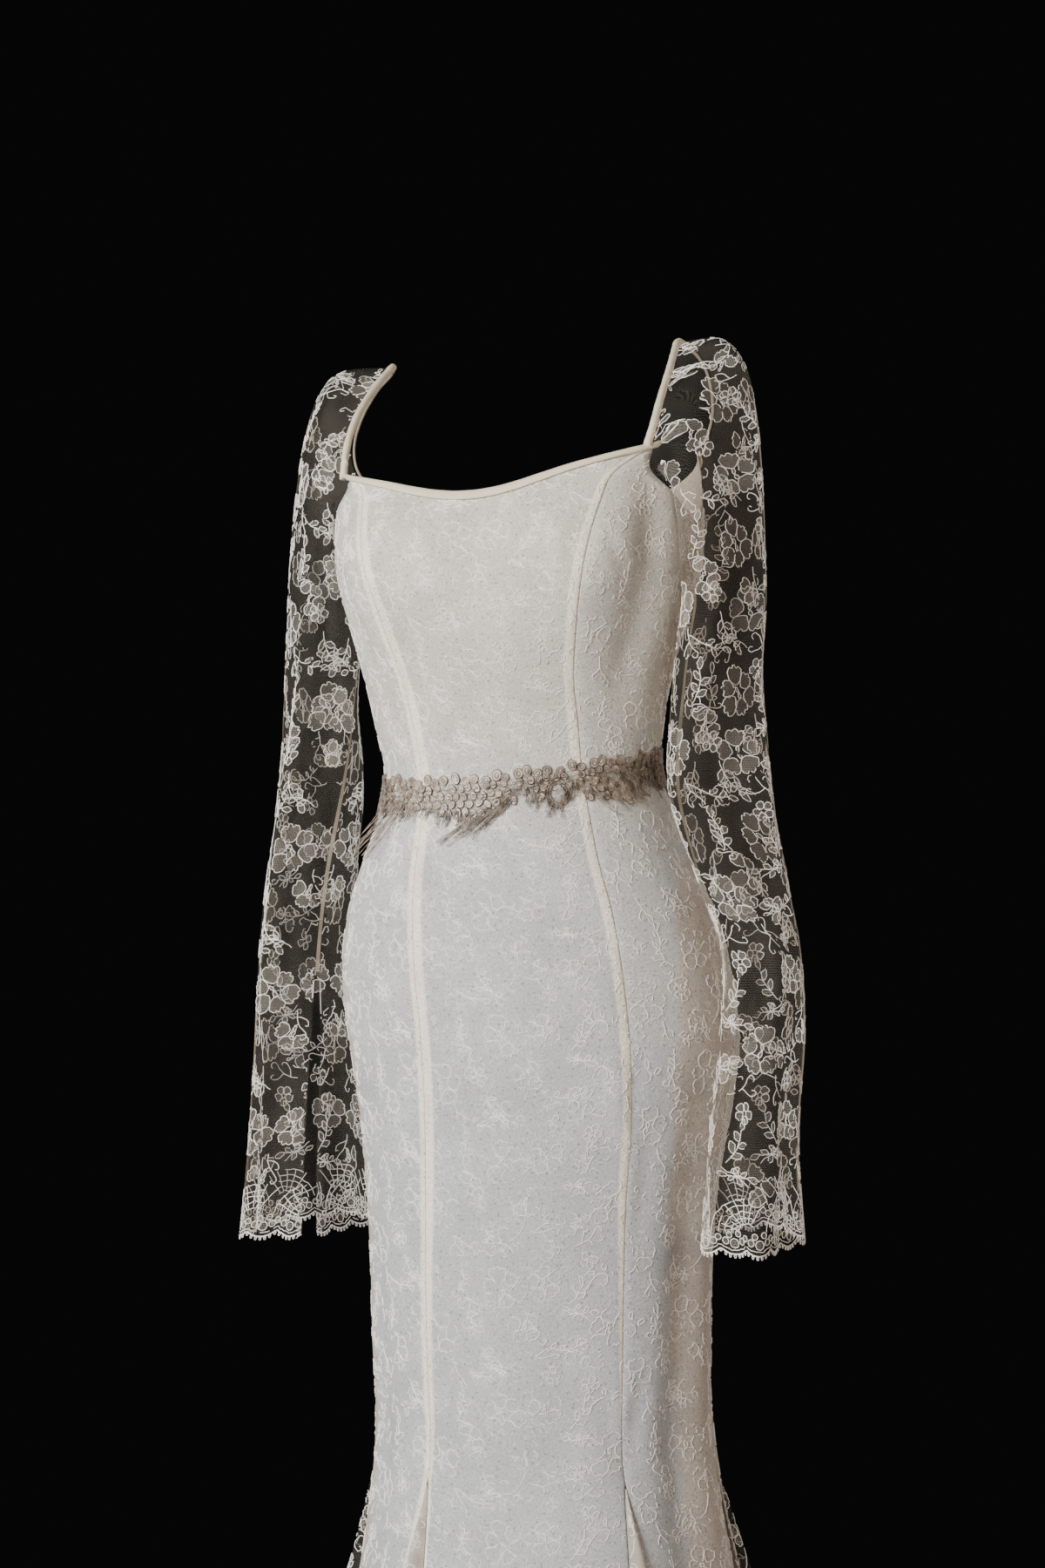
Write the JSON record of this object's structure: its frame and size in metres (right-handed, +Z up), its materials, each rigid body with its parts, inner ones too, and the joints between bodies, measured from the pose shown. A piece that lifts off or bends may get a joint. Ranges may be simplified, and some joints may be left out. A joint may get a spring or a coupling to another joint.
{
  "type": "wedding dress",
  "caption": "Long fitted wedding dress with sheer lace sleeves, a bound scoop neckline, a taupe openwork waist trim and lace godets that flare the hem.",
  "frame": {"origin": "midway between the tops of the two shoulder straps, where the wearer's shoulders hold the dress up", "axes": "+Z up, -Y towards the front of the dress, +X towards the wearer's left"},
  "size_m": [0.6152, 0.5338, 1.4505],
  "materials": {
    "lined_lace": "matte crepe under corded lace",
    "sheer_lace": "fine net with corded flowers",
    "binding": "matte ivory binding",
    "trim": "soft sheen"
  },
  "bodies": {
    "root": {"centre_front": "lined_lace", "side_front_left": "lined_lace", "side_front_right": "lined_lace", "side_back_left": "lined_lace", "side_back_right": "lined_lace", "centre_back_left": "lined_lace", "centre_back_right": "lined_lace", "godet_front_left": "sheer_lace", "godet_front_right": "sheer_lace", "godet_side_left": "sheer_lace", "godet_side_right": "sheer_lace", "godet_back_left": "sheer_lace", "godet_back_right": "sheer_lace", "godet_centre_back": "sheer_lace", "sleeve_left": "sheer_lace", "sleeve_right": "sheer_lace", "strap_left": "binding", "strap_right": "binding", "neck_binding_front": "binding", "neck_binding_back": "binding", "waist_trim_front": "trim", "waist_trim_back": "trim"}
  },
  "joints": []
}
